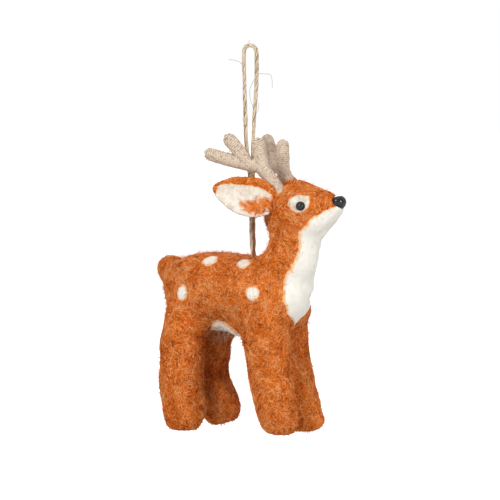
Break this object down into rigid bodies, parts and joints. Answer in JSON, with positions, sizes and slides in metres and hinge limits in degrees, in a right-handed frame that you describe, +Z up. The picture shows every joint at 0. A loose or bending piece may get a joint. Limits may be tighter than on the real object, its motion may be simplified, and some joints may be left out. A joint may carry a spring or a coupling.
{
  "type": "felted deer ornament",
  "caption": "Needle-felted young deer with wound antlers, cupped ears and fawn spots, hung from a loop of jute twine for a tree or twig.",
  "frame": {"origin": "Inside of the hanging loop's top, where a hook or a twig bears.", "axes": "+X is the way the deer faces, +Y its left side and +Z up, as it hangs."},
  "size_m": [0.09, 0.046, 0.1641],
  "materials": {
    "orange_wool": "matte",
    "white_wool": "matte",
    "antler_wool": "matte",
    "black_bead": "gloss",
    "jute_twine": "matte",
    "core_wire": "satin"
  },
  "bodies": {
    "loop": {"hanging_loop": "jute_twine"},
    "stem": {"twine_strand_right": "jute_twine", "twine_strand_left": "jute_twine"},
    "deer": {"torso": "orange_wool", "neck": "orange_wool", "tail": "orange_wool", "foreleg_right": "orange_wool", "foreleg_left": "orange_wool", "hind_leg_right": "orange_wool", "hind_leg_left": "orange_wool", "head": "orange_wool", "ear_right": "orange_wool", "ear_tuft_right": "orange_wool", "ear_left": "orange_wool", "ear_tuft_left": "orange_wool", "throat_bib": "white_wool", "belly_patch": "white_wool", "ear_lining_right": "white_wool", "eye_patch_right": "white_wool", "spot_haunch_right": "white_wool", "spot_rump_right": "white_wool", "spot_withers_right": "white_wool", "spot_shoulder_right": "white_wool", "ear_lining_left": "white_wool", "eye_patch_left": "white_wool", "spot_haunch_left": "white_wool", "spot_rump_left": "white_wool", "spot_withers_left": "white_wool", "spot_shoulder_left": "white_wool", "antler_beam_right": "antler_wool", "antler_upper_tine_right": "antler_wool", "antler_front_tine_right": "antler_wool", "antler_beam_left": "antler_wool", "antler_upper_tine_left": "antler_wool", "antler_front_tine_left": "antler_wool", "eye_right": "black_bead", "eye_left": "black_bead", "nose": "black_bead", "anchor_knot": "jute_twine", "antler_beam_wire_right": "core_wire", "antler_upper_wire_right": "core_wire", "antler_front_wire_right": "core_wire", "antler_beam_wire_left": "core_wire", "antler_upper_wire_left": "core_wire", "antler_front_wire_left": "core_wire"}
  },
  "joints": [
    {"name": "loop_twist", "type": "hinge", "parent": "loop", "child": "stem", "pos_m": [0.0012, 0, -0.0437], "axis": [0, 0, 1], "range_deg": [-180, 180]},
    {"name": "deer_swing", "type": "hinge", "parent": "stem", "child": "deer", "pos_m": [0.0012, 0, -0.0897], "axis": [0, 1, 0], "range_deg": [-12, 60]}
  ]
}
